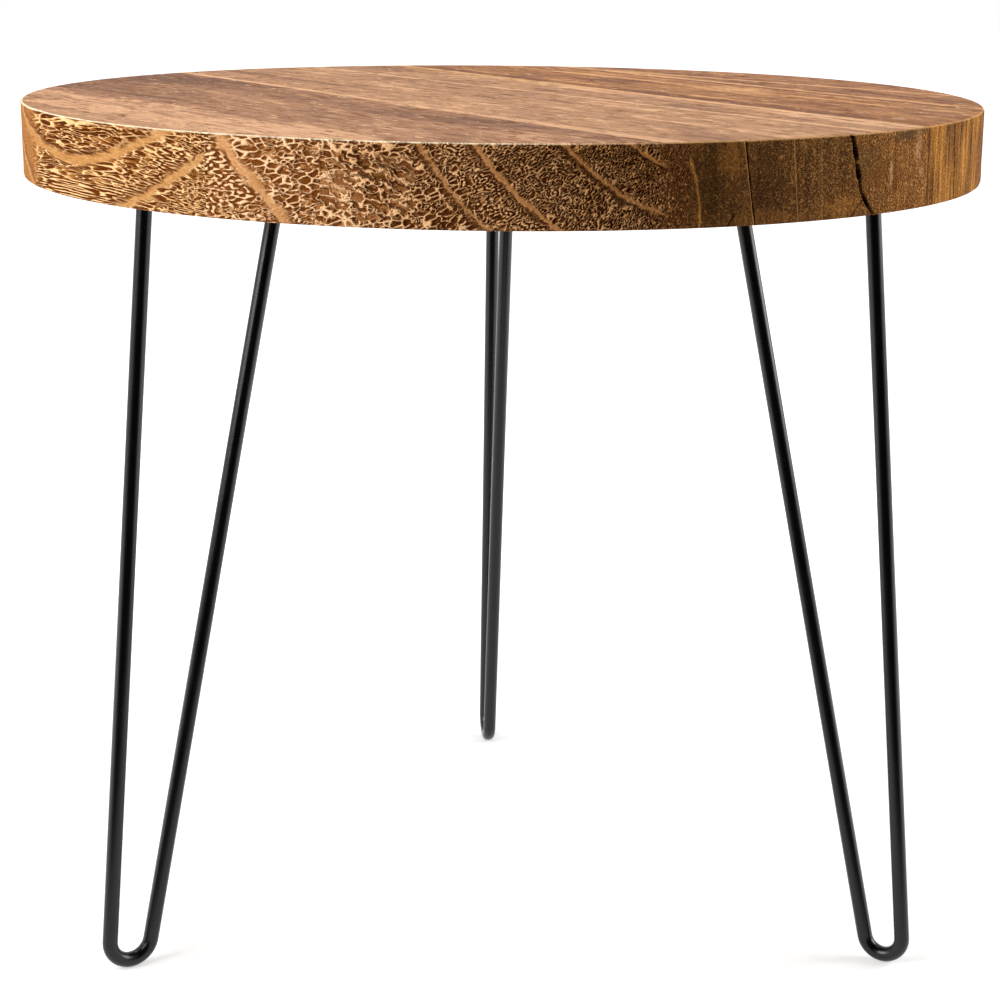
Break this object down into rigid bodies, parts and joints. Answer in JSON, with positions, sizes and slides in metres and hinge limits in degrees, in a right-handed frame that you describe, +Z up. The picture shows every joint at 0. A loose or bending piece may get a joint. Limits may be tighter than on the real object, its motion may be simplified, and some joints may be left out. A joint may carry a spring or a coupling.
{
  "type": "round side table with bent rod legs",
  "caption": "Round side table with a thick glued-up rustic board top on black bent-rod legs screwed to its underside.",
  "frame": {"origin": "on the floor, under the middle of the round top", "axes": "+Z is up; the back leg stands at +Y, the other two legs about 120 degrees to either side, as hand-placed legs stand"},
  "size_m": [0.6249, 0.625, 0.555],
  "materials": {
    "wood_edge_strip": "satin oiled solid wood",
    "wood_wide": "satin oiled solid wood, brushed at the rim",
    "wood_middle": "satin oiled solid wood",
    "wood_narrow": "satin oiled solid wood",
    "wood_outer": "satin oiled solid wood",
    "dowel_wood": "plain hardwood dowel",
    "black_coated_steel": "satin black powder coat",
    "screw_steel": "zinc-plated steel"
  },
  "bodies": {
    "root": {"top_board_edge_strip": "wood_edge_strip", "top_board_wide": "wood_wide", "top_board_middle": "wood_middle", "top_board_narrow": "wood_narrow", "top_board_outer": "wood_outer", "dowels_wide_to_middle": "dowel_wood", "dowels_middle_to_narrow": "dowel_wood", "dowels_narrow_to_outer": "dowel_wood", "leg_rod_back": "black_coated_steel", "leg_plate_back": "black_coated_steel", "weld_beads_back": "black_coated_steel", "plate_screws_back": "screw_steel", "leg_rod_left": "black_coated_steel", "leg_plate_left": "black_coated_steel", "weld_beads_left": "black_coated_steel", "plate_screws_left": "screw_steel", "leg_rod_right": "black_coated_steel", "leg_plate_right": "black_coated_steel", "weld_beads_right": "black_coated_steel", "plate_screws_right": "screw_steel"}
  },
  "joints": []
}
